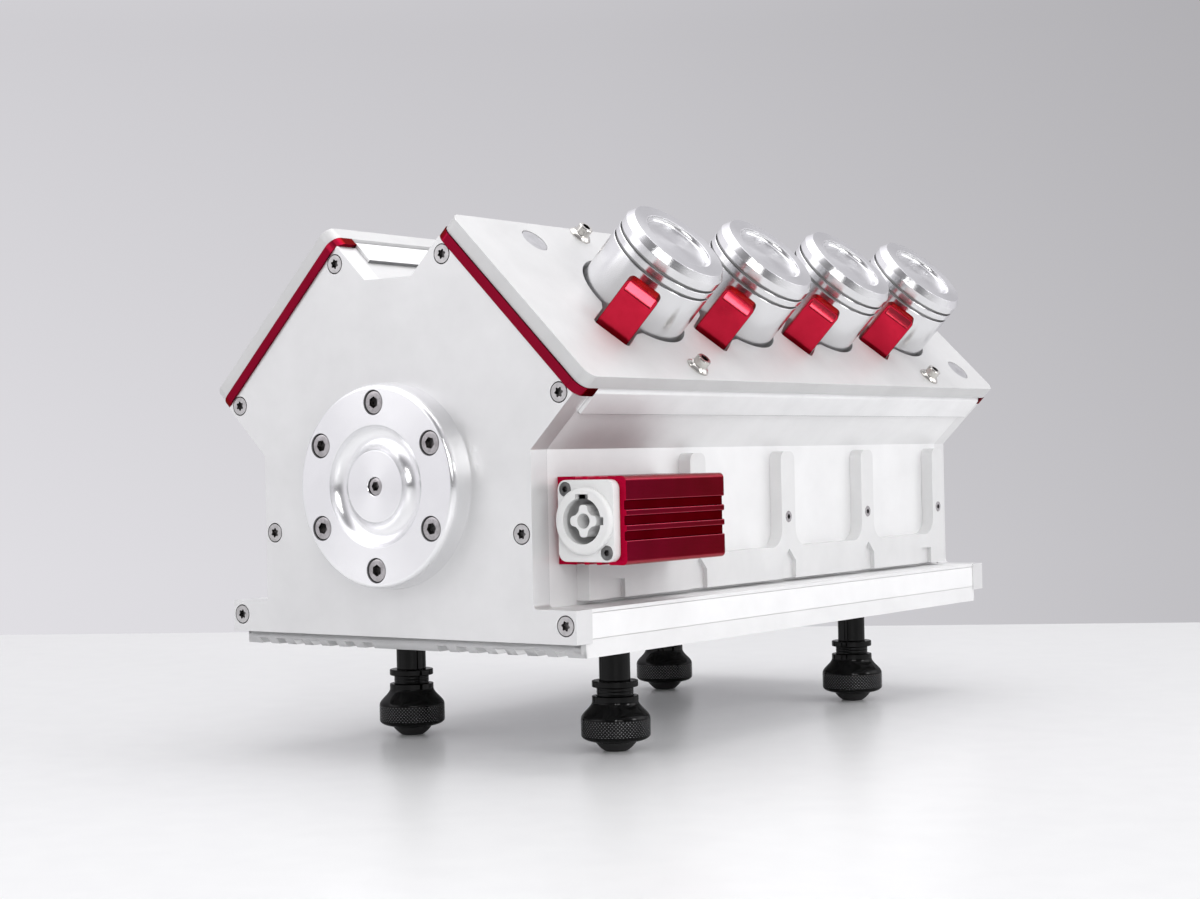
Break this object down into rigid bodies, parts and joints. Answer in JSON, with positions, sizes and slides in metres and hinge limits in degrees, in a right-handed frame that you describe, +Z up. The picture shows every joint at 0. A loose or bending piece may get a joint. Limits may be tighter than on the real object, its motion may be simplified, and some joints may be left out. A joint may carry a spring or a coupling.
{
  "type": "engine block shaped desktop appliance",
  "caption": "Desktop appliance shaped like a small V8 engine block, with sliding piston caps and pull tabs, a power inlet on its side and levelling feet.",
  "frame": {"origin": "on the table, under the middle of the overall box", "axes": "+Z up, +X towards the side that carries the power inlet, -Y towards the plate with the round cover"},
  "size_m": [0.2058, 0.3509, 0.2209],
  "materials": {
    "block_plate": "bead-blasted, satin, clear anodised",
    "deck": "bead-blasted, satin, clear anodised",
    "wall": "satin, lightly brushed",
    "bar": "brushed along its length",
    "turned": "fine turned and polished",
    "inner_metal": "as machined",
    "red": "glossy deep red anodised",
    "box_red": "glossy dark red anodised",
    "black": "glossy black anodised, knurled ring",
    "steel": "plain steel",
    "stud": "nickel plated",
    "inlet_white": "white moulded",
    "supply_case": "plain",
    "lead": "black sleeve",
    "pad": "matt black"
  },
  "bodies": {
    "block": {"front_plate": "block_plate", "rear_plate": "block_plate", "deck_right": "deck", "deck_left": "deck", "wall_right": "wall", "wall_left": "wall", "valley_channel": "wall", "base_plate": "wall", "side_inlays": "wall", "comb_right": "wall", "comb_left": "wall", "edge_bars_right": "bar", "edge_bars_left": "bar", "trim_front_right": "box_red", "trim_front_left": "box_red", "trim_rear_right": "box_red", "trim_rear_left": "box_red", "hub_cover": "turned", "hub_screws": "steel", "hub_centre_screw": "steel", "front_screws": "steel", "rear_screws": "steel", "comb_screws": "steel", "inlet_screws": "steel", "deck_studs_right": "stud", "deck_studs_left": "stud", "deck_discs": "steel", "power_box": "box_red", "inlet_flange": "inlet_white", "inlet_core": "inlet_white", "power_supply": "supply_case", "inner_lead": "lead", "liners_right": "inner_metal", "liners_left": "inner_metal", "foot_stems": "black", "lock_rings": "black"},
    "piston_r1": {"piston_r1": "turned", "tab_r1": "red"},
    "piston_r2": {"piston_r2": "turned", "tab_r2": "red"},
    "piston_r3": {"piston_r3": "turned", "tab_r3": "red"},
    "piston_r4": {"piston_r4": "turned", "tab_r4": "red"},
    "piston_l1": {"piston_l1": "turned", "tab_l1": "red"},
    "piston_l2": {"piston_l2": "turned", "tab_l2": "red"},
    "piston_l3": {"piston_l3": "turned", "tab_l3": "red"},
    "piston_l4": {"piston_l4": "turned", "tab_l4": "red"},
    "foot_bell_fl": {"foot_bell_fl": "black"},
    "foot_pad_fl": {"foot_pad_fl": "pad"},
    "foot_bell_rl": {"foot_bell_rl": "black"},
    "foot_pad_rl": {"foot_pad_rl": "pad"},
    "foot_bell_fr": {"foot_bell_fr": "black"},
    "foot_pad_fr": {"foot_pad_fr": "pad"},
    "foot_bell_rr": {"foot_bell_rr": "black"},
    "foot_pad_rr": {"foot_pad_rr": "pad"}
  },
  "joints": [
    {"name": "piston_r1_slide", "type": "slide", "parent": "block", "child": "piston_r1", "axis": [0.7071, 0, 0.7071], "range_m": [-0.018, 0]},
    {"name": "piston_r2_slide", "type": "slide", "parent": "block", "child": "piston_r2", "axis": [0.7071, 0, 0.7071], "range_m": [-0.018, 0]},
    {"name": "piston_r3_slide", "type": "slide", "parent": "block", "child": "piston_r3", "axis": [0.7071, 0, 0.7071], "range_m": [-0.018, 0]},
    {"name": "piston_r4_slide", "type": "slide", "parent": "block", "child": "piston_r4", "axis": [0.7071, 0, 0.7071], "range_m": [-0.018, 0]},
    {"name": "piston_l1_slide", "type": "slide", "parent": "block", "child": "piston_l1", "axis": [-0.7071, 0, 0.7071], "range_m": [-0.018, 0]},
    {"name": "piston_l2_slide", "type": "slide", "parent": "block", "child": "piston_l2", "axis": [-0.7071, 0, 0.7071], "range_m": [-0.018, 0]},
    {"name": "piston_l3_slide", "type": "slide", "parent": "block", "child": "piston_l3", "axis": [-0.7071, 0, 0.7071], "range_m": [-0.018, 0]},
    {"name": "piston_l4_slide", "type": "slide", "parent": "block", "child": "piston_l4", "axis": [-0.7071, 0, 0.7071], "range_m": [-0.018, 0]},
    {"name": "foot_fl_lift", "type": "slide", "parent": "block", "child": "foot_pad_fl", "axis": [0, 0, 1], "range_m": [-0.003, 0.003]},
    {"name": "foot_fl_turn", "type": "hinge", "parent": "foot_pad_fl", "child": "foot_bell_fl", "pos_m": [-0.055, -0.09345, 0], "axis": [0, 0, 1], "range_deg": [-720, 720]},
    {"name": "foot_rl_lift", "type": "slide", "parent": "block", "child": "foot_pad_rl", "axis": [0, 0, 1], "range_m": [-0.003, 0.003]},
    {"name": "foot_rl_turn", "type": "hinge", "parent": "foot_pad_rl", "child": "foot_bell_rl", "pos_m": [-0.055, 0.10255, 0], "axis": [0, 0, 1], "range_deg": [-720, 720]},
    {"name": "foot_fr_lift", "type": "slide", "parent": "block", "child": "foot_pad_fr", "axis": [0, 0, 1], "range_m": [-0.003, 0.003]},
    {"name": "foot_fr_turn", "type": "hinge", "parent": "foot_pad_fr", "child": "foot_bell_fr", "pos_m": [0.055, -0.09345, 0], "axis": [0, 0, 1], "range_deg": [-720, 720]},
    {"name": "foot_rr_lift", "type": "slide", "parent": "block", "child": "foot_pad_rr", "axis": [0, 0, 1], "range_m": [-0.003, 0.003]},
    {"name": "foot_rr_turn", "type": "hinge", "parent": "foot_pad_rr", "child": "foot_bell_rr", "pos_m": [0.055, 0.10255, 0], "axis": [0, 0, 1], "range_deg": [-720, 720]}
  ],
  "couplings": [
    {"joint": "foot_fl_turn", "follows": "foot_fl_lift", "rad_per_m": 4188.8},
    {"joint": "foot_rl_turn", "follows": "foot_rl_lift", "rad_per_m": 4188.8},
    {"joint": "foot_fr_turn", "follows": "foot_fr_lift", "rad_per_m": 4188.8},
    {"joint": "foot_rr_turn", "follows": "foot_rr_lift", "rad_per_m": 4188.8}
  ]
}
